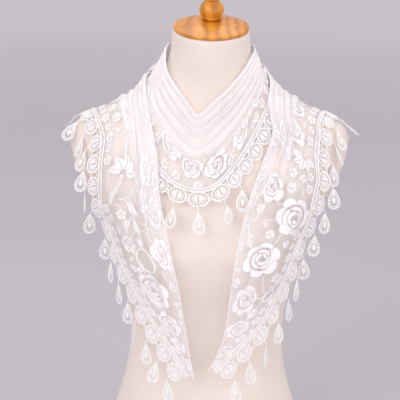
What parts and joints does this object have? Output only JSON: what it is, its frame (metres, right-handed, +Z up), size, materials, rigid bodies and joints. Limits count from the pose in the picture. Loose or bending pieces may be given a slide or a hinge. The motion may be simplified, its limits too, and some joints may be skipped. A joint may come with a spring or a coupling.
{
  "type": "lace shawl on dress form",
  "caption": "White lace triangle shawl with scalloped guipure edging and hanging teardrops, wound round the neck of a limbless dress form with a turned wood neck cap and finial.",
  "frame": {"origin": "centre of the dress form's flat base, on the surface that it stands on", "axes": "+Z up through the form, -Y out of the form's chest, +X to the viewer's right as the chest is seen"},
  "size_m": [0.4411, 0.2773, 0.7254],
  "materials": {
    "form_cover": "matt stretch jersey",
    "varnished_wood": "glossy varnish",
    "lace_net": "sheer floral lace",
    "guipure_lace": "corded guipure lace"
  },
  "bodies": {
    "root": {"dress_form": "form_cover", "neck_cap": "varnished_wood", "finial": "varnished_wood", "front_bib": "lace_net", "back_wrap_under": "lace_net", "back_wrap_over": "lace_net", "left_tail": "lace_net", "right_tail": "lace_net", "bib_edging": "guipure_lace", "left_edging": "guipure_lace", "right_edging": "guipure_lace"}
  },
  "joints": []
}
